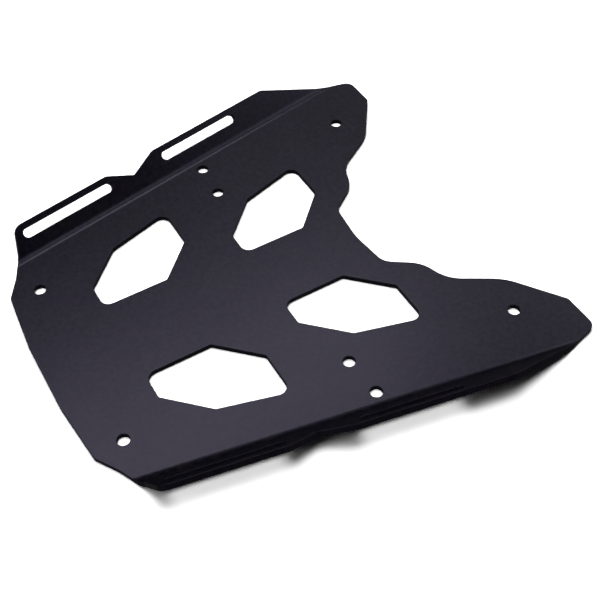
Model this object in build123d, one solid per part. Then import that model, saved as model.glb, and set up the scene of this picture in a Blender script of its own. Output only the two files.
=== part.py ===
from build123d import *
from math import cos, radians, sin, tan
import os

# Motorcycle rear luggage rack: one sheet, cut to a blank and folded up along both sides.
# Millimetres. X runs across the rack, +Y towards the two horns, +Z up. The plate lies on Z = 0,
# and the origin is midway across the rack and midway along it.
# The blank is drawn with Y = 0 on the rear edge and moved to the origin at the end.

# Sheet and fold
sheet = 4.0
bend_radius = 9.0  # inside face
neutral_share = 0.44  # depth of the unstretched layer below the inside face, as a share of the sheet
fold_angle = 42.0  # how far each flange is turned up from the plate
fold_half_width = 103.4  # centre plane to the corner line of the two upper faces, at the rear edge
fold_splay = 10.8  # degrees between that line and the rack's length
edge_break = 0.4  # bevel of the cut edges under the coating
bend_sections = 5  # sections of the block that trims a bend's two ends

# Lengths along the rack
rear_margin = 59.8  # rear edge to the rear windows
window_length = 78.4
window_web = 33.6  # rear windows to front windows
recess_gap = 1.3  # front windows to the lowest point of the recess
horn_length = 96.3  # lowest point of the recess to the horn tips

# Windows: six-sided, mirrored about the centre plane
rear_window_offset = 35.3  # centre plane to the window's straight inner side
front_window_offset = 28.9
window_rear_side = 21.2
window_front_side = 35.6
window_chamfer = 28.3  # leg of each 45 degree side
window_corner = 2.5
window_wide_corner = 7.0  # inner rear and outer front corners

# Bolt holes
hole_diameter = 9.0
rear_hole_from_fold = 28.4  # across the rack, from the corner line at the rear edge
rear_hole_setback = 26.0  # from the rear edge
outer_hole_from_fold = 10.8
outer_hole_ahead = 14.4  # of the front windows' rear sides
inner_hole_from_fold = 41.0
inner_hole_ahead = 12.3
horn_hole_from_fold = 42.4
horn_hole_from_tip = 39.6

# Rear outline
rear_straight_half = 30.0
rear_straight_radius = 60.0
rear_corner_inset = 25.6  # from the fold's half width to the rear corner
rear_corner_rise = 4.3
shoulder_strip = 8.3  # shoulder to the bend's start
rear_corner_radius = 5.0
shoulder_radius = 14.0
shoulder_rake = 35.7  # lean of the cut from the shoulder over the bend, from square across the fold

# Horns and the recess between them
horn_tip_width = 28.7
horn_inner_corner = 5.0
horn_outer_corner = 8.0
recess_steps = [
    # shares: half width and corner radius of the half width at the horn tips, height of the horn length
    (0.704, 0.7186, 0.341),
    (0.5387, 0.352, 0.228),
    (0.3718, 0.2804, 0.197),
    (0.2458, 0.0363, 0.0986),
]
recess_centre_radius = 60.0

# Flanges: width from the corner line of the two upper faces, lengths along it from the rear edge
flange_width = 25.1
flange_rear_start = 18.4  # rear cut where the bend starts
flange_rear_rake = 22.8  # lean of the rear end from square across the flange
flange_root_strip = 1.6  # corner between the shoulder's cut and the rear end, beyond the bend
flange_root_radius = 12.0
flange_rear_corner = 8.5
notch_from_rear = 137.4
notch_depth = 10.0
notch_rear_angle = 25.2  # between the notch's rear side and the fold
notch_front_angle = 22.8
notch_root_radius = 1.5
tab_corner = 5.0
taper_from_tips = 80.5  # front taper's start back from the line of the horn tips, along the fold
taper_angle = 24.1  # between the front taper and the fold

# Strap slots
slot_width = 7.4
slot_bar = 5.0  # metal left between a slot and the flange's edge
rear_slot_start = 36.9
rear_slot_length = 79.6
front_slot_start = 165.6
front_slot_length = 73.8

# Derived places
front_window_start = rear_margin + window_length + window_web
recess_floor = front_window_start + window_length + recess_gap
rack_length = recess_floor + horn_length
fold = radians(fold_angle)
setback = bend_radius * tan(fold / 2)  # corner line to the start of the bend, on the upper face
bend_strip = fold * (bend_radius + neutral_share * sheet)  # width of the bend in the blank
along = Vector(sin(radians(fold_splay)), cos(radians(fold_splay)), 0)
outward = Vector(cos(radians(fold_splay)), -sin(radians(fold_splay)), 0)
bend_start = Vector(fold_half_width, 0, 0) - outward * setback


def blank_point(strip, run):
    """Point of the blank at strip outward from the bend's start and run along the fold."""
    return bend_start + outward * strip + along * run


def flange_strip(width):
    """Distance from the bend's start, in the blank, of a line that lies at width on the folded flange."""
    return width - setback + bend_strip


def fold_half_width_at(y):
    """Centre plane to the corner line at y along the rack."""
    return fold_half_width + y * tan(radians(fold_splay))


def crossing(start, direction, level):
    """Point where the line from start reaches y = level."""
    return start + direction * ((level - start.Y) / direction.Y)


# The cut blank
tab_edge = flange_strip(flange_width)
taper_start = rack_length / along.Y - taper_from_tips
root_strip = bend_strip + flange_root_strip
taper = 1 / tan(radians(taper_angle))


def rear_end(strip):
    """Run of the rear cut at strip: one straight cut from the shoulder over the bend to the flange's root."""
    return flange_rear_start + strip * tan(radians(shoulder_rake))


def front_end(strip):
    """Run of the front taper at strip. The same straight cut goes on over the bend to the horn."""
    return taper_start + (tab_edge - strip) * taper


def half_outline():
    """Corners of the blank's right half from the rear edge round to the recess, each with its radius."""
    flange_rear_end = rear_end(root_strip) + (tab_edge - root_strip) * tan(radians(flange_rear_rake))
    notch_strip = tab_edge - notch_depth
    notch_rear = notch_from_rear - notch_depth / tan(radians(notch_rear_angle))
    notch_front = notch_from_rear + notch_depth / tan(radians(notch_front_angle))
    taper_line = blank_point(0, front_end(0)) - blank_point(tab_edge, front_end(tab_edge))
    horn_corner = crossing(blank_point(0, front_end(0)), taper_line, rack_length)
    horn_inner_half = horn_corner.X - horn_tip_width
    corners = [
        (Vector(rear_straight_half, 0), rear_straight_radius),
        (Vector(fold_half_width - rear_corner_inset, rear_corner_rise), rear_corner_radius),
        (blank_point(-shoulder_strip, rear_end(-shoulder_strip)), shoulder_radius),
        (blank_point(root_strip, rear_end(root_strip)), flange_root_radius),
        (blank_point(tab_edge, flange_rear_end), flange_rear_corner),
        (blank_point(tab_edge, notch_rear), tab_corner),
        (blank_point(notch_strip, notch_from_rear), notch_root_radius),
        (blank_point(tab_edge, notch_front), tab_corner),
        (blank_point(tab_edge, taper_start), tab_corner),
        (horn_corner, horn_outer_corner),
        (Vector(horn_inner_half, rack_length), horn_inner_corner),
    ]
    for half_share, height_share, radius_share in recess_steps:
        point = Vector(horn_inner_half * half_share, recess_floor + horn_length * height_share)
        corners.append((point, horn_inner_half * radius_share))
    return corners


def outline_face():
    """The blank's outline: the right half, the lowest point of the recess and the half mirrored."""
    right = half_outline()
    left = [(Vector(-point.X, point.Y), radius) for point, radius in reversed(right)]
    middle = [(Vector(0, recess_floor), recess_centre_radius)]
    corners = right + middle + left
    points = [point for point, radius in corners]
    radii = [radius for point, radius in corners]
    return make_face(FilletPolyline(*points, radius=radii, close=True))


def window(offset, start):
    """One right-hand window with its inner side at offset and its rear side at start."""
    end = start + window_length
    points = [
        (offset, start),
        (offset + window_rear_side, start),
        (offset + window_rear_side + window_chamfer, start + window_chamfer),
        (offset + window_chamfer + window_front_side, end),
        (offset + window_chamfer, end),
        (offset, end - window_chamfer),
    ]
    radii = [
        window_wide_corner,
        window_corner,
        window_corner,
        window_wide_corner,
        window_corner,
        window_corner,
    ]
    return make_face(FilletPolyline(*points, radius=radii, close=True))


def hole(x, y):
    return Pos(x, y) * Circle(hole_diameter / 2)


def strap_slot(start, length):
    """One strap slot of the right flange, drawn in the blank."""
    strip = flange_strip(flange_width - slot_bar - slot_width / 2)
    centre = blank_point(strip, start + length / 2)
    return Pos(centre) * Rot(0, 0, 90 - fold_splay) * SlotOverall(length, slot_width)


def right_cutouts():
    """Everything cut through the right half of the blank."""
    outer_y = front_window_start + outer_hole_ahead
    inner_y = front_window_start + inner_hole_ahead
    horn_y = rack_length - horn_hole_from_tip
    return [
        window(rear_window_offset, rear_margin),
        window(front_window_offset, front_window_start),
        hole(fold_half_width - rear_hole_from_fold, rear_hole_setback),
        hole(fold_half_width_at(outer_y) - outer_hole_from_fold, outer_y),
        hole(fold_half_width_at(inner_y) - inner_hole_from_fold, inner_y),
        hole(fold_half_width_at(horn_y) - horn_hole_from_fold, horn_y),
        strap_slot(rear_slot_start, rear_slot_length),
        strap_slot(front_slot_start, front_slot_length),
    ]


def cut_blank():
    """The flat sheet with all its cuts, before folding."""
    cutouts = right_cutouts()
    cutouts += [mirror(shape, about=Plane.YZ) for shape in cutouts]
    return extrude(outline_face() - cutouts, sheet)


# Folding
bend_axis = Axis(bend_start + Vector(0, 0, sheet + bend_radius), -along)
bend_plane = Plane(bend_start, x_dir=along, z_dir=outward)


def across_bend(turn):
    """Section of a block that holds the bend at turn degrees, cut off at its slanted ends."""
    strip = bend_strip * turn / fold_angle
    rear, front = rear_end(strip), front_end(strip)
    low, high = -sheet, sheet + bend_radius / 2
    section = Polygon((rear, low), (front, low), (front, high), (rear, high), align=None)
    return (bend_plane * section).face().rotate(bend_axis, turn)


def right_bend():
    """The bend between plate and flange: a ring sector whose two ends wind with the slanted cuts."""
    section = Polygon((0, 0), (rack_length, 0), (rack_length, sheet), (0, sheet), align=None)
    sector = revolve((bend_plane * section).face(), bend_axis, fold_angle)
    turns = [fold_angle * index / (bend_sections - 1) for index in range(bend_sections)]
    block = loft([across_bend(turn) for turn in turns])
    return sector & block


def folded_sheet():
    """The blank with both flanges turned up."""
    blank = cut_blank()
    bend_end = Plane(bend_start + outward * bend_strip, x_dir=along, z_dir=outward)
    flange = split(blank, bisect_by=bend_end, keep=Keep.TOP)
    flange = flange.translate(-outward * bend_strip).rotate(bend_axis, fold_angle)
    side = [right_bend(), flange]
    plate = split(blank, bisect_by=bend_plane, keep=Keep.BOTTOM)
    left_bend_plane = Plane((-bend_start.X, bend_start.Y, 0), z_dir=(-outward.X, outward.Y, 0))
    plate = split(plate, bisect_by=left_bend_plane, keep=Keep.BOTTOM)
    return plate + side + [mirror(shape, about=Plane.YZ) for shape in side]


def is_bend(face):
    """A bend is round about a level line. Holes and rounded corners stand square to the sheet."""
    return face.geom_type == GeomType.CYLINDER and abs(face.axis_of_rotation.direction.Z) < 1e-6


def is_skin(face):
    """Upper and lower faces of plate, bends and flanges, as against the cut edges."""
    if face.geom_type == GeomType.PLANE:
        tilt = abs(face.normal_at().Z)
        return min(abs(tilt - 1), abs(tilt - cos(fold))) < 1e-6
    return is_bend(face)


def edges_broken(sheet_part):
    """Bevels every cut edge, all round the outline and in each cut-out."""
    skins = sheet_part.faces().filter_by(is_skin)
    seams = [edge for face in skins.filter_by(is_bend) for edge in face.edges().filter_by(GeomType.LINE)]
    rims = [edge for face in skins for edge in face.edges() if edge not in seams]
    return chamfer(rims, edge_break)


rack = Pos(0, -rack_length / 2, 0) * edges_broken(folded_sheet())
print("valid", rack.is_valid, "solids", len(rack.solids()), "volume", round(rack.volume))

os.makedirs("parts", exist_ok=True)
export_step(rack, "parts/rack_plate.step")
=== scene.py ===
import math

import bpy
import numpy as np
from bpy.props import FloatProperty, FloatVectorProperty, IntProperty, PointerProperty
from mathutils import Matrix, Vector
from mathutils.geometry import delaunay_2d_cdt


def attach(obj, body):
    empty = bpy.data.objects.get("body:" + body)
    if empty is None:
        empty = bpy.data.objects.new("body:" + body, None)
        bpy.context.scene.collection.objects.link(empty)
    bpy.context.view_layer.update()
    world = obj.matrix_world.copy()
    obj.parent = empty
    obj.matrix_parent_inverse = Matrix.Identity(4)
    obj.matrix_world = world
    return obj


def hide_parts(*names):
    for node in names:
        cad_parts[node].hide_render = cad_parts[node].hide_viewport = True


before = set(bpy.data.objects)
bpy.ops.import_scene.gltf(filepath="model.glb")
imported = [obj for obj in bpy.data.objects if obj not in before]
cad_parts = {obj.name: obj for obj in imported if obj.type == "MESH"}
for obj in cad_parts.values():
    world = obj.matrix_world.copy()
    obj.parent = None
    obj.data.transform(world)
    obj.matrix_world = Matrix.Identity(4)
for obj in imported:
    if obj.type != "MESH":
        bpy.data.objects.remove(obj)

bl_info = {
    "name": "Luggage rack",
    "version": (1, 0, 0),
    "blender": (4, 5, 0),
    "location": "3D View > Sidebar > Rack",
    "description": "Folded and powder-coated luggage rack around its solid, with a plain stage",
    "category": "Object",
}

# The frame is in metres: X across the rack, +Y towards the horns, +Z up, the plate's underside on Z = 0.
# The blank is worked out with its Y = 0 on the rear edge, like the solid, and moved to the frame's origin
# at the end. Sizes that a user would change are properties further down; the outline's own are here.

CUT_POINT_SPACING = 0.0012  # along the outline, fine enough to follow the bends, and along every arc
CUTOUT_SIDE_SPACING = 0.012  # along the straight sides of windows and slots
CORNER_STEP = math.radians(9)  # most that one step turns in a rounded corner
BEND_COLUMNS = 13  # lines of points along each bend
BEND_ROWS = 96  # points in each such line
BEND_CLEARANCE = 0.0016  # from the bends' own points to the cut edges

REAR_MARGIN = 0.0598
WINDOW_LENGTH = 0.0784
WINDOW_WEB = 0.0336
RECESS_GAP = 0.0013
HORN_LENGTH = 0.0963
FRONT_WINDOW_START = REAR_MARGIN + WINDOW_LENGTH + WINDOW_WEB
RECESS_FLOOR = FRONT_WINDOW_START + WINDOW_LENGTH + RECESS_GAP
RACK_LENGTH = RECESS_FLOOR + HORN_LENGTH

REAR_WINDOW_OFFSET = 0.0353
FRONT_WINDOW_OFFSET = 0.0289
WINDOW_REAR_SIDE = 0.0212
WINDOW_FRONT_SIDE = 0.0356
WINDOW_CHAMFER = 0.0283
WINDOW_CORNER = 0.0025
WINDOW_WIDE_CORNER = 0.007

HOLE_RADIUS = 0.0045
REAR_HOLE_FROM_FOLD = 0.0284
REAR_HOLE_SETBACK = 0.026
OUTER_HOLE_FROM_FOLD = 0.0108
OUTER_HOLE_AHEAD = 0.0144
INNER_HOLE_FROM_FOLD = 0.041
INNER_HOLE_AHEAD = 0.0123
HORN_HOLE_FROM_FOLD = 0.0424
HORN_HOLE_FROM_TIP = 0.0396

REAR_STRAIGHT_HALF = 0.03
REAR_STRAIGHT_RADIUS = 0.06
REAR_CORNER_INSET = 0.0256
REAR_CORNER_RISE = 0.0043
REAR_CORNER_RADIUS = 0.005
SHOULDER_STRIP = 0.0083
SHOULDER_RAKE = math.radians(35.7)
SHOULDER_RADIUS = 0.014
FLANGE_REAR_START = 0.0184
FLANGE_REAR_RAKE = math.radians(22.8)
FLANGE_ROOT_STRIP = 0.0016
FLANGE_ROOT_RADIUS = 0.012
FLANGE_REAR_CORNER = 0.0085

NOTCH_FROM_REAR = 0.1374
NOTCH_DEPTH = 0.01
NOTCH_REAR_ANGLE = math.radians(25.2)
NOTCH_FRONT_ANGLE = math.radians(22.8)
NOTCH_ROOT_RADIUS = 0.0015
TAB_CORNER = 0.005
TAPER_FROM_TIPS = 0.0805
TAPER_ANGLE = math.radians(24.1)

HORN_TIP_WIDTH = 0.0287
HORN_INNER_CORNER = 0.005
HORN_OUTER_CORNER = 0.008
RECESS_CENTRE_RADIUS = 0.06
RECESS_STEPS = (
    # half width and corner radius as shares of the half width at the horn tips, height of the horn length
    (0.704, 0.7186, 0.341),
    (0.5387, 0.352, 0.228),
    (0.3718, 0.2804, 0.197),
    (0.2458, 0.0363, 0.0986),
)

SLOT_WIDTH = 0.0074
SLOT_BAR = 0.005
STRAP_SLOTS = ((0.0369, 0.0796), (0.1656, 0.0738))  # start and length along the fold

SAME_PLACE = 1e-7  # points of a cut closer than this are one
TRIANGULATION_REACH = 1e-8  # points of the blank closer than this would be merged

# The coat's pattern: scales are in cells per metre, and the rest are shares of one noise in another.
MOTTLE_GRAINS = 4.0  # grains across one spot of the mottle
CAST_SCALE = 60.0  # a cloud about a thumb wide
CLOUD_SCALE = 9.0  # a cloud about a hand wide
MOTTLE_IN_HEIGHT = 0.35
FINE_IN_THICKNESS = 0.4
MOTTLE_IN_DULLNESS = 0.2
SPOT_FADE = (0.4, 0.6)  # thickness at which a spot starts and at which it is full

FLOOR_CORNERS = 96

# The band above the horizon that the gloss sees
BAND_FOOT = 0.02  # sine of the height where it starts
BAND_FULL = 0.1  # sine of the height from which it is full
BAND_FULL_SHARE = 0.6  # share of its top up to which it stays full
BAND_SIDE_FADE = 0.3  # X of the direction where it is full, and minus X where it has faded out

WHITE = (1, 1, 1, 1)
BLACK = (0, 0, 0, 1)


class RackSheetSettings(bpy.types.PropertyGroup):
    """Sizes of the folded sheet."""

    sheet: FloatProperty(
        name="Sheet", description="Thickness of the sheet with its coat", default=0.004, unit="LENGTH"
    )
    bend_radius: FloatProperty(
        name="Bend radius", description="Inside radius of the two bends", default=0.009, unit="LENGTH"
    )
    neutral_share: FloatProperty(
        name="Neutral layer",
        description="Depth of the unstretched layer as a share of the sheet",
        default=0.44,
        subtype="FACTOR",
    )
    fold_angle: FloatProperty(
        name="Fold angle",
        description="How far each flange is turned up from the plate",
        default=math.radians(42),
        subtype="ANGLE",
        unit="ROTATION",
    )
    fold_splay: FloatProperty(
        name="Fold splay",
        description="Angle between a fold and the rack's length",
        default=math.radians(10.8),
        subtype="ANGLE",
        unit="ROTATION",
    )
    fold_half_width: FloatProperty(
        name="Fold half width",
        description="Centre plane to the corner line of the two upper faces, at the rear edge",
        default=0.1034,
        unit="LENGTH",
    )
    flange_width: FloatProperty(
        name="Flange width",
        description="Corner line to the flange's outer edge",
        default=0.0251,
        unit="LENGTH",
    )
    rim_radius: FloatProperty(
        name="Rim radius", description="Rounding of every coated cut edge", default=0.0003, unit="LENGTH"
    )
    rim_steps: IntProperty(name="Rim steps", description="Faces across each rounded rim", default=5)


class RackCoatSettings(bpy.types.PropertyGroup):
    """Look of the powder coat."""

    colour: FloatVectorProperty(
        name="Colour",
        description="Base colour of the powder coat between its spots",
        default=(0.001, 0.0009, 0.0028),
        size=3,
        subtype="COLOR",
    )
    grey_spots: FloatVectorProperty(
        name="Grey spots",
        description="Base colour of the thick spots in the greyer clouds",
        default=(0.0075, 0.0074, 0.0058),
        size=3,
        subtype="COLOR",
    )
    violet_spots: FloatVectorProperty(
        name="Violet spots",
        description="Base colour of the thick spots in the more violet clouds",
        default=(0.0055, 0.0036, 0.0125),
        size=3,
        subtype="COLOR",
    )
    sheen_tint: FloatVectorProperty(
        name="Sheen tint",
        description="Colour of the coat's reflections",
        default=(0.76, 0.7, 0.985),
        size=3,
        subtype="COLOR",
    )
    roughness: FloatProperty(
        name="Roughness", description="Middle roughness of the coat", default=0.305, subtype="FACTOR"
    )
    roughness_spread: FloatProperty(
        name="Roughness spread",
        description="How far the roughness strays to each side in broad clouds",
        default=0.05,
        subtype="FACTOR",
    )
    gloss: FloatProperty(
        name="Gloss", description="Specular level of the coat", default=0.335, subtype="FACTOR"
    )
    grain: FloatProperty(
        name="Grain", description="Width of one grain of the fine texture", default=0.0008, unit="LENGTH"
    )
    relief: FloatProperty(
        name="Relief", description="Height of the fine texture", default=0.00005, unit="LENGTH"
    )


class RackStageSettings(bpy.types.PropertyGroup):
    """Floor, lamps, sky and camera."""

    floor_colour: FloatVectorProperty(
        name="Floor",
        description="Colour of the floor in the light that it throws back",
        default=(0.12, 0.12, 0.12),
        size=3,
        subtype="COLOR",
    )
    floor_seen: FloatProperty(
        name="Floor as seen",
        description="Colour of the floor for the camera, over white so that only the shadow shows",
        default=1.9,
    )
    floor_radius: FloatProperty(
        name="Floor radius", description="Radius of the round floor", default=0.8, unit="LENGTH"
    )
    key_place: FloatVectorProperty(
        name="Key place",
        description="Middle of the key box, which lights the floor and the coat's base colour",
        default=(-0.7, 0.1, 2.4),
        subtype="TRANSLATION",
    )
    key_size: FloatVectorProperty(
        name="Key size",
        description="Width and length of the key box",
        default=(2.0, 2.0),
        size=2,
        unit="LENGTH",
    )
    key_power: FloatProperty(
        name="Key power", description="Power of the key box", default=42.0, unit="POWER"
    )
    overhead_place: FloatVectorProperty(
        name="Overhead place",
        description="Middle of the long overhead box",
        default=(0.15, -0.6, 2.6),
        subtype="TRANSLATION",
    )
    overhead_size: FloatVectorProperty(
        name="Overhead size",
        description="Width and length of the overhead box",
        default=(1.2, 7.0),
        size=2,
        unit="LENGTH",
    )
    overhead_power: FloatProperty(
        name="Overhead power", description="Power of the overhead box", default=38.0, unit="POWER"
    )
    strip_place: FloatVectorProperty(
        name="Strip place",
        description="Middle of the strip box high on the left, which shows only in the gloss",
        default=(-1.755, 0.275, 3.016),
        subtype="TRANSLATION",
    )
    strip_size: FloatVectorProperty(
        name="Strip size",
        description="Width and length of the strip box",
        default=(0.71, 2.67),
        size=2,
        unit="LENGTH",
    )
    strip_power: FloatProperty(
        name="Strip power", description="Power of the strip box", default=30.4, unit="POWER"
    )
    low_place: FloatVectorProperty(
        name="Low place",
        description="Middle of the low box on the left, which shows only in the gloss",
        default=(-2.0, 1.8, 1.5),
        subtype="TRANSLATION",
    )
    low_size: FloatVectorProperty(
        name="Low size",
        description="Width and length of the low box",
        default=(0.8, 2.6),
        size=2,
        unit="LENGTH",
    )
    low_power: FloatProperty(
        name="Low power", description="Power of the low box", default=2.8, unit="POWER"
    )
    front_place: FloatVectorProperty(
        name="Front place",
        description="Middle of the box beyond the horns, which shows only in the gloss",
        default=(-0.215, 1.6, 1.349),
        subtype="TRANSLATION",
    )
    front_size: FloatVectorProperty(
        name="Front size",
        description="Width and length of the box beyond the horns",
        default=(2.4, 0.9),
        size=2,
        unit="LENGTH",
    )
    front_power: FloatProperty(
        name="Front power", description="Power of the box beyond the horns", default=9.5, unit="POWER"
    )
    sky: FloatProperty(name="Sky", description="Strength of the even light from all round", default=0.006)
    band: FloatProperty(
        name="Band", description="Strength of the band above the horizon, as the gloss sees it", default=0.2
    )
    band_top: FloatProperty(
        name="Band top", description="Sine of the height where that band has faded out", default=0.5
    )
    lens: FloatProperty(
        name="Lens", description="Focal length on a 36 mm sensor", default=59.608, unit="CAMERA"
    )
    camera_place: FloatVectorProperty(
        name="Camera place",
        description="Where the camera stands",
        default=(0.4353, -0.21436, 0.55046),
        subtype="TRANSLATION",
    )
    camera_turn: FloatVectorProperty(
        name="Camera turn",
        description="How the camera is turned",
        default=(0.699891, 0.02044, 1.039379),
        subtype="EULER",
    )


# The cut blank


def blank_bases(s):
    """Unit vectors along and across the right-hand fold, and where its bend starts at the rear edge.

    The bend starts bend_radius * tan(fold_angle / 2) inside the corner line of the two upper faces.
    """
    along = np.array((math.sin(s.fold_splay), math.cos(s.fold_splay)))
    outward = np.array((math.cos(s.fold_splay), -math.sin(s.fold_splay)))
    setback = s.bend_radius * math.tan(s.fold_angle / 2)
    return along, outward, np.array((s.fold_half_width, 0.0)) - outward * setback


def bend_strip(s):
    """Width of the bend in the blank: fold angle times the neutral layer's radius."""
    return s.fold_angle * (s.bend_radius + s.neutral_share * s.sheet)


def flange_strip(s, width):
    """Distance from the bend's start, in the blank, of a line at width on the folded flange."""
    return width - s.bend_radius * math.tan(s.fold_angle / 2) + bend_strip(s)


def rear_end(strip):
    """Run of the rear cut at strip: one straight cut from the shoulder over the bend to the flange."""
    return FLANGE_REAR_START + strip * math.tan(SHOULDER_RAKE)


def front_end(s, strip):
    """Run of the front taper at strip: one straight cut over flange, bend and plate."""
    start = RACK_LENGTH / math.cos(s.fold_splay) - TAPER_FROM_TIPS
    return start + (flange_strip(s, s.flange_width) - strip) / math.tan(TAPER_ANGLE)


def half_outline(s):
    """Corners (x, y, radius) of the blank's right half, from the rear edge round to the recess."""
    along, outward, bend_start = blank_bases(s)

    def at(strip, run, radius):
        return (*(bend_start + outward * strip + along * run), radius)

    edge = flange_strip(s, s.flange_width)
    root = bend_strip(s) + FLANGE_ROOT_STRIP
    flange_rear_end = rear_end(root) + (edge - root) * math.tan(FLANGE_REAR_RAKE)
    notch_rear = NOTCH_FROM_REAR - NOTCH_DEPTH / math.tan(NOTCH_REAR_ANGLE)
    notch_front = NOTCH_FROM_REAR + NOTCH_DEPTH / math.tan(NOTCH_FRONT_ANGLE)
    taper_top = np.array(at(edge, front_end(s, edge), 0)[:2])
    taper_foot = np.array(at(0, front_end(s, 0), 0)[:2])
    slope = taper_foot - taper_top
    horn_outer = taper_foot + slope * ((RACK_LENGTH - taper_foot[1]) / slope[1])
    horn_inner = horn_outer[0] - HORN_TIP_WIDTH
    corners = [
        (REAR_STRAIGHT_HALF, 0, REAR_STRAIGHT_RADIUS),
        (s.fold_half_width - REAR_CORNER_INSET, REAR_CORNER_RISE, REAR_CORNER_RADIUS),
        at(-SHOULDER_STRIP, rear_end(-SHOULDER_STRIP), SHOULDER_RADIUS),
        at(root, rear_end(root), FLANGE_ROOT_RADIUS),
        at(edge, flange_rear_end, FLANGE_REAR_CORNER),
        at(edge, notch_rear, TAB_CORNER),
        at(edge - NOTCH_DEPTH, NOTCH_FROM_REAR, NOTCH_ROOT_RADIUS),
        at(edge, notch_front, TAB_CORNER),
        at(edge, front_end(s, edge), TAB_CORNER),
        (horn_outer[0], RACK_LENGTH, HORN_OUTER_CORNER),
        (horn_inner, RACK_LENGTH, HORN_INNER_CORNER),
    ]
    for half, height, radius in RECESS_STEPS:
        corners.append((horn_inner * half, RECESS_FLOOR + HORN_LENGTH * height, horn_inner * radius))
    return corners


def window(offset, start):
    """Corners of one right-hand window: a square-cornered band with 45 degree sides."""
    end = start + WINDOW_LENGTH
    return [
        (offset, start, WINDOW_WIDE_CORNER),
        (offset + WINDOW_REAR_SIDE, start, WINDOW_CORNER),
        (offset + WINDOW_REAR_SIDE + WINDOW_CHAMFER, start + WINDOW_CHAMFER, WINDOW_CORNER),
        (offset + WINDOW_CHAMFER + WINDOW_FRONT_SIDE, end, WINDOW_WIDE_CORNER),
        (offset + WINDOW_CHAMFER, end, WINDOW_CORNER),
        (offset, end - WINDOW_CHAMFER, WINDOW_CORNER),
    ]


def hole(x, y):
    """Corners of the square round a bolt hole, each rounded by the hole's radius."""
    r = HOLE_RADIUS
    return [(x - r, y - r, r), (x + r, y - r, r), (x + r, y + r, r), (x - r, y + r, r)]


def strap_slot(s, start, length):
    """Corners of the rectangle round a strap slot, each rounded by half its width."""
    along, outward, bend_start = blank_bases(s)
    outer = flange_strip(s, s.flange_width - SLOT_BAR)
    inner = outer - SLOT_WIDTH
    ends = ((inner, start), (outer, start), (outer, start + length), (inner, start + length))
    return [(*(bend_start + outward * strip + along * run), SLOT_WIDTH / 2) for strip, run in ends]


def right_cutouts(s):
    """Corner lists of everything cut through the right half."""

    def from_fold(distance, y):
        return hole(s.fold_half_width + y * math.tan(s.fold_splay) - distance, y)

    return [
        window(REAR_WINDOW_OFFSET, REAR_MARGIN),
        window(FRONT_WINDOW_OFFSET, FRONT_WINDOW_START),
        hole(s.fold_half_width - REAR_HOLE_FROM_FOLD, REAR_HOLE_SETBACK),
        from_fold(OUTER_HOLE_FROM_FOLD, FRONT_WINDOW_START + OUTER_HOLE_AHEAD),
        from_fold(INNER_HOLE_FROM_FOLD, FRONT_WINDOW_START + INNER_HOLE_AHEAD),
        from_fold(HORN_HOLE_FROM_FOLD, RACK_LENGTH - HORN_HOLE_FROM_TIP),
        *(strap_slot(s, start, length) for start, length in STRAP_SLOTS),
    ]


def mirrored(corners):
    """The same corners on the left, in the order that keeps the turning sense."""
    return [(-x, y, radius) for x, y, radius in reversed(corners)]


def turned(vector, angle):
    """The vector turned anticlockwise by each angle: cosine of it plus sine of its left-hand normal."""
    c, n = np.cos(angle)[:, None], np.sin(angle)[:, None]
    return vector * c + np.array((-vector[1], vector[0])) * n


def rounded_loop(corners, side_spacing):
    """Points and outward normals of the closed line through anticlockwise corners (x, y, radius).

    At each corner the line leaves its side radius * tan(turn / 2) early, follows the arc of that radius
    that touches both sides, and goes on along the next side. Arcs and sides are sampled evenly.
    """
    table = np.array(corners, float)
    place, radius = table[:, :2], table[:, 2]
    ahead = np.roll(place, -1, axis=0) - place
    ahead /= np.linalg.norm(ahead, axis=1)[:, None]
    behind = np.roll(ahead, 1, axis=0)
    turn = np.arctan2(behind[:, 0] * ahead[:, 1] - behind[:, 1] * ahead[:, 0], (behind * ahead).sum(axis=1))
    trim = radius * np.tan(np.abs(turn) / 2)
    arc_start = place - behind * trim[:, None]
    arc_end = place + ahead * trim[:, None]
    points, normals = [], []
    for i in range(len(table)):
        swing = abs(turn[i])
        steps = math.ceil(max(swing / CORNER_STEP, swing * radius[i] / CUT_POINT_SPACING))
        angle = np.linspace(0, turn[i], steps + 1)
        outward = np.array((behind[i, 1], -behind[i, 0])) * np.sign(turn[i])
        spokes = turned(outward, angle)
        points.append(arc_start[i] + (spokes - outward) * radius[i])
        normals.append(spokes * np.sign(turn[i]))
        side = np.roll(arc_start, -1, axis=0)[i] - arc_end[i]
        length = np.linalg.norm(side)
        inner = np.linspace(0, 1, max(1, math.ceil(length / side_spacing)) + 1)[1:-1]
        points.append(arc_end[i] + side * inner[:, None])
        normals.append(np.repeat([(ahead[i, 1], -ahead[i, 0])], len(inner), axis=0))
    points, normals = np.concatenate(points), np.concatenate(normals)
    apart = np.linalg.norm(points - np.roll(points, 1, axis=0), axis=1) > SAME_PLACE
    return points[apart], normals[apart]


def cut_loops(s):
    """Every closed cut of the blank as (points, normals), the normals pointing away from the metal.

    The outline runs anticlockwise and each cut-out clockwise, so the metal always lies on the left.
    """
    right = half_outline(s)
    outline = right + [(0, RECESS_FLOOR, RECESS_CENTRE_RADIUS)] + mirrored(right)
    loops = [rounded_loop(outline, CUT_POINT_SPACING)]
    cutouts = right_cutouts(s)
    for corners in cutouts + [mirrored(corners) for corners in cutouts]:
        points, normals = rounded_loop(corners, CUTOUT_SIDE_SPACING)
        loops.append((points[::-1], -normals[::-1]))
    return loops


# Folding


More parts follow.
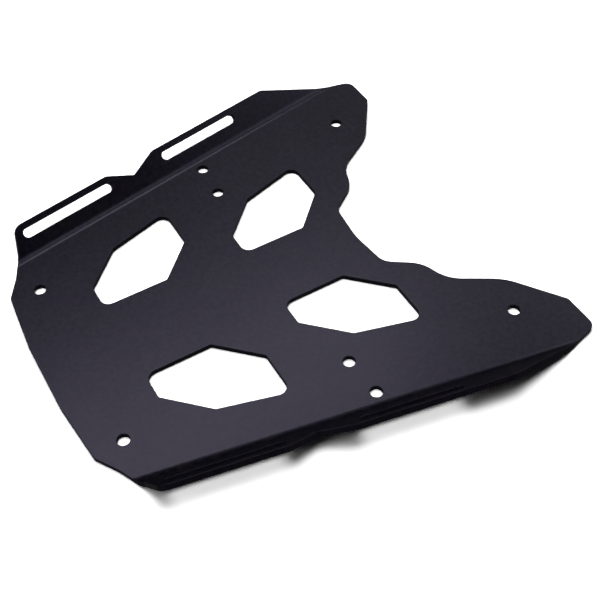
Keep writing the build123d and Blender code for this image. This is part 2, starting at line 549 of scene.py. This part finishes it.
def folded(s, flat, height, across, upright):
    """Places and normals of blank points at height over the underside, once the blank is folded.

    A point strip past the bend's start turns by strip / bend_strip of the fold angle, at most by all of it.
    Its place is (radius * sin, radius * cos) of that turn about the bend's axis, with radius growing
    towards the underside, and anything past the bend goes straight on along the flange. across is the
    part of the normal that lies in the blank and upright the part that stands on it.
    """
    along, outward, bend_start = blank_bases(s)
    side = np.where(flat[:, 0] < 0, -1.0, 1.0)
    to_right = np.stack((side, np.ones_like(side)), axis=1)
    rel = flat * to_right - bend_start
    strip, run = rel @ outward, rel @ along
    turn = np.clip(strip / bend_strip(s), 0, 1) * s.fold_angle
    past = np.maximum(strip - bend_strip(s), 0)
    radius = s.bend_radius + s.sheet - height
    out = np.minimum(strip, 0) + radius * np.sin(turn) + past * np.cos(turn)
    up = s.sheet + s.bend_radius - radius * np.cos(turn) + past * np.sin(turn)
    place = bend_start + out[:, None] * outward + run[:, None] * along
    place = np.column_stack((place * to_right, up))
    level, raised = across * to_right @ outward, across * to_right @ along
    lean = level * np.cos(turn) - upright * np.sin(turn)
    normal = lean[:, None] * outward + raised[:, None] * along
    normal = np.column_stack((normal * to_right, level * np.sin(turn) + upright * np.cos(turn)))
    return place - (0, RACK_LENGTH / 2, 0), normal


def bend_points(s):
    """Blank points inside the two bends: columns along the fold, each from one slanted end to the other."""
    along, outward, bend_start = blank_bases(s)
    strip = np.linspace(0, bend_strip(s), BEND_COLUMNS)[:, None]
    share = np.linspace(0, 1, BEND_ROWS)[None, :]
    rear = rear_end(strip) + BEND_CLEARANCE
    front = front_end(s, strip) - BEND_CLEARANCE / math.sin(TAPER_ANGLE)
    run = rear + (front - rear) * share
    grid = bend_start + strip[..., None] * outward + run[..., None] * along
    right = grid.reshape(-1, 2)
    return np.concatenate((right, right * (-1, 1)))


def inside(points, loops):
    """Which points lie on metal: the loops' edges wind once round them in all."""
    total = np.zeros(len(points))
    for loop in loops:
        a = loop[None] - points[:, None]
        b = np.roll(loop, -1, axis=0)[None] - points[:, None]
        cross = a[..., 0] * b[..., 1] - a[..., 1] * b[..., 0]
        total += np.arctan2(cross, (a * b).sum(axis=2)).sum(axis=1)
    return total > math.pi


def sheet_mesh(s):
    """Vertices, faces and vertex normals of the folded sheet.

    Each cut loop carries a rim profile: a quarter round from the upper face, the straight wall, and a
    quarter round to the lower face. A rim point at angle a of the upper quarter lies
    rim_radius * (1 - sin a) inside the cut and rim_radius * (1 - cos a) under the upper face. One
    triangulation of the blank between the innermost lines closes both faces.
    """
    r = s.rim_radius
    angle = np.linspace(0, math.pi / 2, s.rim_steps + 1)
    inset = np.concatenate((r - r * np.sin(angle), r - r * np.sin(angle[::-1])))
    height = np.concatenate((s.sheet - r + r * np.cos(angle), r - r * np.cos(angle[::-1])))
    sideways = np.concatenate((np.sin(angle), np.sin(angle[::-1])))
    upright = np.concatenate((np.cos(angle), -np.cos(angle[::-1])))
    rings = len(inset)

    flat, level, across, standing, quads, borders = [], [], [], [], [], []
    base = 0
    for points, normals in cut_loops(s):
        n = len(points)
        flat.append((points[None] - normals[None] * inset[:, None, None]).reshape(-1, 2))
        level.append(np.repeat(height, n))
        across.append((normals[None] * sideways[:, None, None]).reshape(-1, 2))
        standing.append(np.repeat(upright, n))
        ring, here = np.meshgrid(np.arange(rings - 1), np.arange(n), indexing="ij")
        corner = base + ring * n + here
        beside = base + ring * n + (here + 1) % n
        quads.append(np.stack((corner, corner + n, beside + n, beside), axis=-1).reshape(-1, 4))
        borders.append(np.arange(base, base + n))
        base += rings * n

    border = np.concatenate(borders)
    sizes = [len(b) for b in borders]
    starts = np.cumsum([0] + sizes)
    rim_flat = np.concatenate(flat)
    bends = bend_points(s)
    # The triangulation works on single precision, so its triangles are tested on the same points.
    field = np.concatenate((rim_flat[border], bends)).astype(np.float32).astype(float)
    edges = []
    for start, size in zip(starts, sizes):
        here = np.arange(size)
        edges.append(np.stack((start + here, start + (here + 1) % size), axis=1))
    coords = [Vector(point) for point in field.tolist()]
    result = delaunay_2d_cdt(coords, np.concatenate(edges).tolist(), [], 0, TRIANGULATION_REACH)
    if len(result[0]) != len(field):
        raise RuntimeError(f"the blank's points changed in number: {len(field)} to {len(result[0])}")
    source = np.array([ids[0] for ids in result[3]])
    triangles = source[np.array(result[2])]
    middle = field[triangles].mean(axis=1)
    triangles = triangles[inside(middle, np.split(field[: len(border)], starts[1:-1]))]
    a, b, c = (field[triangles[:, i]] for i in range(3))
    clockwise = (b - a)[:, 0] * (c - a)[:, 1] - (b - a)[:, 1] * (c - a)[:, 0] < 0
    triangles[clockwise] = triangles[clockwise][:, ::-1]

    lower_border = np.concatenate([b + (rings - 1) * size for b, size in zip(borders, sizes)])
    count = len(bends)
    upper = np.concatenate((border, np.arange(base, base + count)))
    lower = np.concatenate((lower_border, np.arange(base + count, base + 2 * count)))
    flat += [bends, bends]
    level += [np.full(count, s.sheet), np.zeros(count)]
    across += [np.zeros((2 * count, 2))]
    standing += [np.ones(count), -np.ones(count)]
    place, normal = folded(s, *(np.concatenate(part) for part in (flat, level, across, standing)))
    faces = np.concatenate(quads).tolist() + upper[triangles].tolist() + lower[triangles[:, ::-1]].tolist()
    return place, faces, normal


# Materials


def add_nodes(tree, **nodes):
    """Adds nodes by name and type, side by side."""
    made = {}
    for i, (name, kind) in enumerate(nodes.items()):
        made[name] = tree.nodes.new(kind)
        made[name].name = made[name].label = name.replace("_", " ")
        made[name].location = (i * 200, 0)
    return made


def powder_texture():
    """Node group of the coat's surface: how thick, how violet, how dull and how high it is at each point.

    Height is fine noise one grain wide with a little mottle four grains wide. Thickness is that mottle
    with the fine noise in it. Cast is a cloud about a thumb wide. Dullness is a broad cloud about a hand
    wide with a little of the mottle.
    """
    group = bpy.data.node_groups.new("powder texture", "ShaderNodeTree")
    face = group.interface
    face.new_socket(name="Vector", in_out="INPUT", socket_type="NodeSocketVector")
    face.new_socket(name="Grain scale", in_out="INPUT", socket_type="NodeSocketFloat")
    face.new_socket(name="Thickness", in_out="OUTPUT", socket_type="NodeSocketFloat")
    face.new_socket(name="Cast", in_out="OUTPUT", socket_type="NodeSocketFloat")
    face.new_socket(name="Dullness", in_out="OUTPUT", socket_type="NodeSocketFloat")
    face.new_socket(name="Height", in_out="OUTPUT", socket_type="NodeSocketFloat")
    n = add_nodes(
        group,
        socket_in="NodeGroupInput",
        mottle_scale="ShaderNodeMath",
        fine="ShaderNodeTexNoise",
        mottle="ShaderNodeTexNoise",
        cast="ShaderNodeTexNoise",
        cloud="ShaderNodeTexNoise",
        height="ShaderNodeMix",
        thickness="ShaderNodeMix",
        dullness="ShaderNodeMix",
        socket_out="NodeGroupOutput",
    )
    n["mottle_scale"].operation = "DIVIDE"
    n["mottle_scale"].inputs[1].default_value = MOTTLE_GRAINS
    n["fine"].inputs["Detail"].default_value = 2.0
    n["fine"].inputs["Roughness"].default_value = 0.6
    n["mottle"].inputs["Detail"].default_value = 1.0
    n["cast"].inputs["Scale"].default_value = CAST_SCALE
    n["cast"].inputs["Detail"].default_value = 1.0
    n["cloud"].inputs["Scale"].default_value = CLOUD_SCALE
    n["cloud"].inputs["Detail"].default_value = 3.0
    n["height"].inputs["Factor"].default_value = MOTTLE_IN_HEIGHT
    n["thickness"].inputs["Factor"].default_value = FINE_IN_THICKNESS
    n["dullness"].inputs["Factor"].default_value = MOTTLE_IN_DULLNESS
    link = group.links.new
    for name in ("fine", "mottle", "cast", "cloud"):
        link(n["socket_in"].outputs["Vector"], n[name].inputs["Vector"])
    link(n["socket_in"].outputs["Grain scale"], n["fine"].inputs["Scale"])
    link(n["socket_in"].outputs["Grain scale"], n["mottle_scale"].inputs[0])
    link(n["mottle_scale"].outputs[0], n["mottle"].inputs["Scale"])
    for name, first, second in (
        ("height", "fine", "mottle"),
        ("thickness", "mottle", "fine"),
        ("dullness", "cloud", "mottle"),
    ):
        link(n[first].outputs[0], n[name].inputs["A"])
        link(n[second].outputs[0], n[name].inputs["B"])
    link(n["thickness"].outputs[0], n["socket_out"].inputs["Thickness"])
    link(n["cast"].outputs[0], n["socket_out"].inputs["Cast"])
    link(n["dullness"].outputs[0], n["socket_out"].inputs["Dullness"])
    link(n["height"].outputs[0], n["socket_out"].inputs["Height"])
    return group


def powder_coat(settings):
    """Matte black powder coat with a faint violet cast and a fine, even texture.

    Where the coat is thick it has spots, whose colour goes with the cast from grey to violet. Its roughness
    goes with the dullness and its relief with the height.
    """
    material = bpy.data.materials.new("black powder coat")
    material.use_nodes = True
    tree = material.node_tree
    shader = tree.nodes["Principled BSDF"]
    shader.inputs["Specular IOR Level"].default_value = settings.gloss
    shader.inputs["Specular Tint"].default_value = (*settings.sheen_tint, 1)
    n = add_nodes(
        tree,
        coordinates="ShaderNodeTexCoord",
        texture="ShaderNodeGroup",
        spots="ShaderNodeMapRange",
        cast="ShaderNodeMix",
        colour="ShaderNodeMix",
        roughness="ShaderNodeMapRange",
        relief="ShaderNodeBump",
    )
    n["texture"].node_tree = powder_texture()
    n["texture"].inputs["Grain scale"].default_value = 1 / settings.grain
    n["spots"].inputs["From Min"].default_value = SPOT_FADE[0]
    n["spots"].inputs["From Max"].default_value = SPOT_FADE[1]
    n["cast"].data_type = n["colour"].data_type = "RGBA"
    n["cast"].inputs["A"].default_value = (*settings.grey_spots, 1)
    n["cast"].inputs["B"].default_value = (*settings.violet_spots, 1)
    n["colour"].inputs["A"].default_value = (*settings.colour, 1)
    n["roughness"].inputs["To Min"].default_value = settings.roughness - settings.roughness_spread
    n["roughness"].inputs["To Max"].default_value = settings.roughness + settings.roughness_spread
    n["relief"].inputs["Strength"].default_value = 1.0
    n["relief"].inputs["Distance"].default_value = settings.relief
    link = tree.links.new
    link(n["coordinates"].outputs["Object"], n["texture"].inputs["Vector"])
    link(n["texture"].outputs["Thickness"], n["spots"].inputs["Value"])
    link(n["texture"].outputs["Cast"], n["cast"].inputs["Factor"])
    link(n["spots"].outputs[0], n["colour"].inputs["Factor"])
    link(n["cast"].outputs["Result"], n["colour"].inputs["B"])
    link(n["texture"].outputs["Dullness"], n["roughness"].inputs["Value"])
    link(n["texture"].outputs["Height"], n["relief"].inputs["Height"])
    link(n["colour"].outputs["Result"], shader.inputs["Base Color"])
    link(n["roughness"].outputs[0], shader.inputs["Roughness"])
    link(n["relief"].outputs[0], shader.inputs["Normal"])
    return material


def floor_paper(settings):
    """Pale paper, which the camera sees as white where no shadow falls on it."""
    material = bpy.data.materials.new("pale paper")
    material.use_nodes = True
    tree = material.node_tree
    tree.nodes.remove(tree.nodes["Principled BSDF"])
    n = add_nodes(
        tree,
        light_path="ShaderNodeLightPath",
        colour="ShaderNodeMix",
        paper="ShaderNodeBsdfDiffuse",
    )
    n["colour"].data_type = "RGBA"
    n["colour"].inputs["A"].default_value = (*settings.floor_colour, 1)
    seen = settings.floor_seen
    n["colour"].inputs["B"].default_value = (seen, seen, seen, 1)
    link = tree.links.new
    link(n["light_path"].outputs["Is Camera Ray"], n["colour"].inputs["Factor"])
    link(n["colour"].outputs["Result"], n["paper"].inputs["Color"])
    link(n["paper"].outputs[0], tree.nodes["Material Output"].inputs["Surface"])
    return material


def even_sky(settings):
    """World that is white to the camera and gives all else a faint even light.

    The gloss also sees a band on the right: its strength is a ramp over the sine of the height, from
    BAND_FOOT to band_top, times a ramp over X.
    """
    world = bpy.data.worlds.new("even sky")
    world.use_nodes = True
    tree = world.node_tree
    n = add_nodes(
        tree,
        coordinates="ShaderNodeTexCoord",
        direction="ShaderNodeSeparateXYZ",
        band="ShaderNodeValToRGB",
        side="ShaderNodeMapRange",
        share="ShaderNodeMath",
        glow="ShaderNodeMapRange",
        light_path="ShaderNodeLightPath",
        for_gloss="ShaderNodeMix",
        for_camera="ShaderNodeMix",
    )
    ramp = n["band"].color_ramp
    ramp.elements[0].color = ramp.elements[1].color = BLACK
    ramp.elements[0].position, ramp.elements[1].position = BAND_FOOT, settings.band_top
    ramp.elements.new(BAND_FULL).color = WHITE
    ramp.elements.new(BAND_FULL_SHARE * settings.band_top).color = WHITE
    n["side"].inputs["From Min"].default_value = -BAND_SIDE_FADE
    n["side"].inputs["From Max"].default_value = BAND_SIDE_FADE
    n["share"].operation = "MULTIPLY"
    n["glow"].inputs["To Min"].default_value = settings.sky
    n["glow"].inputs["To Max"].default_value = settings.band
    n["for_gloss"].inputs["A"].default_value = settings.sky
    n["for_camera"].inputs["B"].default_value = 1.0
    background = tree.nodes["Background"]
    background.inputs["Color"].default_value = WHITE
    link = tree.links.new
    link(n["coordinates"].outputs["Generated"], n["direction"].inputs[0])
    link(n["direction"].outputs["Z"], n["band"].inputs["Fac"])
    link(n["direction"].outputs["X"], n["side"].inputs["Value"])
    link(n["band"].outputs["Color"], n["share"].inputs[0])
    link(n["side"].outputs[0], n["share"].inputs[1])
    link(n["share"].outputs[0], n["glow"].inputs["Value"])
    link(n["light_path"].outputs["Is Glossy Ray"], n["for_gloss"].inputs["Factor"])
    link(n["glow"].outputs[0], n["for_gloss"].inputs["B"])
    link(n["light_path"].outputs["Is Camera Ray"], n["for_camera"].inputs["Factor"])
    link(n["for_gloss"].outputs[0], n["for_camera"].inputs["A"])
    link(n["for_camera"].outputs[0], background.inputs["Strength"])
    return world


# Stage


def soft_box(name, place, size, power):
    """A rectangular lamp at place that faces the middle of the rack.

    Its first side is square to the rack's length, and its second side is square to that and to its beam.
    """
    lamp = bpy.data.lights.new(name, "AREA")
    lamp.shape = "RECTANGLE"
    lamp.size, lamp.size_y = size
    lamp.energy = power
    away = Vector(place).normalized()
    across = Vector((0, 1, 0)).cross(away).normalized()
    box = bpy.data.objects.new(name, lamp)
    box.location = place
    box.rotation_euler = Matrix((across, away.cross(across), away)).transposed().to_euler()
    bpy.context.scene.collection.objects.link(box)
    return box


# Operators


class RACK_OT_folded_sheet(bpy.types.Operator):
    """Build the folded sheet with its rounded rims and powder coat, in place of the plain solid"""

    bl_idname = "rack.folded_sheet"
    bl_label = "Folded sheet"

    def execute(self, context):
        place, faces, normal = sheet_mesh(context.scene.rack_sheet)
        mesh = bpy.data.meshes.new("rack_sheet")
        mesh.from_pydata(place.tolist(), [], faces)
        if mesh.validate():
            raise RuntimeError("the sheet's mesh had faults")
        mesh.shade_smooth()
        mesh.normals_split_custom_set_from_vertices(normal.tolist())
        mesh.materials.append(powder_coat(context.scene.rack_coat))
        sheet = bpy.data.objects.new("rack_sheet", mesh)
        context.collection.objects.link(sheet)
        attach(sheet, "root")
        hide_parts("rack_plate")
        return {"FINISHED"}


class RACK_OT_stage(bpy.types.Operator):
    """Lay the pale floor and set up the five soft boxes, the sky and the camera"""

    bl_idname = "rack.stage"
    bl_label = "Stage"

    def execute(self, context):
        settings = context.scene.rack_stage
        mesh = bpy.data.meshes.new("floor")
        angle = np.linspace(0, 2 * math.pi, FLOOR_CORNERS, endpoint=False)
        rim = np.column_stack((np.cos(angle), np.sin(angle), np.zeros_like(angle))) * settings.floor_radius
        mesh.from_pydata(rim.tolist(), [], [list(range(len(rim)))])
        mesh.materials.append(floor_paper(settings))
        floor = bpy.data.objects.new("floor", mesh)
        context.collection.objects.link(floor)

        key = soft_box("key box", settings.key_place, settings.key_size, settings.key_power)
        key.visible_glossy = False
        soft_box("overhead box", settings.overhead_place, settings.overhead_size, settings.overhead_power)
        for sheen in (
            soft_box("strip box", settings.strip_place, settings.strip_size, settings.strip_power),
            soft_box("low box", settings.low_place, settings.low_size, settings.low_power),
            soft_box("front box", settings.front_place, settings.front_size, settings.front_power),
        ):
            sheen.visible_diffuse = False

        context.scene.world = even_sky(settings)

        camera = bpy.data.cameras.new("camera")
        camera.lens = settings.lens
        camera.sensor_width = 36.0
        viewer = bpy.data.objects.new("camera", camera)
        viewer.location = settings.camera_place
        viewer.rotation_euler = settings.camera_turn
        context.collection.objects.link(viewer)
        context.scene.camera = viewer
        context.scene.view_settings.view_transform = "Standard"
        return {"FINISHED"}


class RACK_PT_panel(bpy.types.Panel):
    """Lists the rack's pieces and the stage"""

    bl_idname = "RACK_PT_panel"
    bl_label = "Luggage rack"
    bl_space_type = "VIEW_3D"
    bl_region_type = "UI"
    bl_category = "Rack"

    def draw(self, context):
        scene = context.scene
        for settings, operator in (
            (scene.rack_sheet, RACK_OT_folded_sheet),
            (scene.rack_coat, None),
            (scene.rack_stage, RACK_OT_stage),
        ):
            box = self.layout.box()
            for name in settings.bl_rna.properties.keys():
                if name not in ("rna_type", "name"):
                    box.prop(settings, name)
            if operator:
                box.operator(operator.bl_idname)


CLASSES = (
    RackSheetSettings,
    RackCoatSettings,
    RackStageSettings,
    RACK_OT_folded_sheet,
    RACK_OT_stage,
    RACK_PT_panel,
)


def register():
    for cls in CLASSES:
        bpy.utils.register_class(cls)
    bpy.types.Scene.rack_sheet = PointerProperty(type=RackSheetSettings)
    bpy.types.Scene.rack_coat = PointerProperty(type=RackCoatSettings)
    bpy.types.Scene.rack_stage = PointerProperty(type=RackStageSettings)


def unregister():
    del bpy.types.Scene.rack_stage
    del bpy.types.Scene.rack_coat
    del bpy.types.Scene.rack_sheet
    for cls in reversed(CLASSES):
        bpy.utils.unregister_class(cls)


def main():
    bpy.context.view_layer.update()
    register()
    bpy.ops.rack.folded_sheet()
    bpy.ops.rack.stage()


if __name__ == "__main__":
    main()
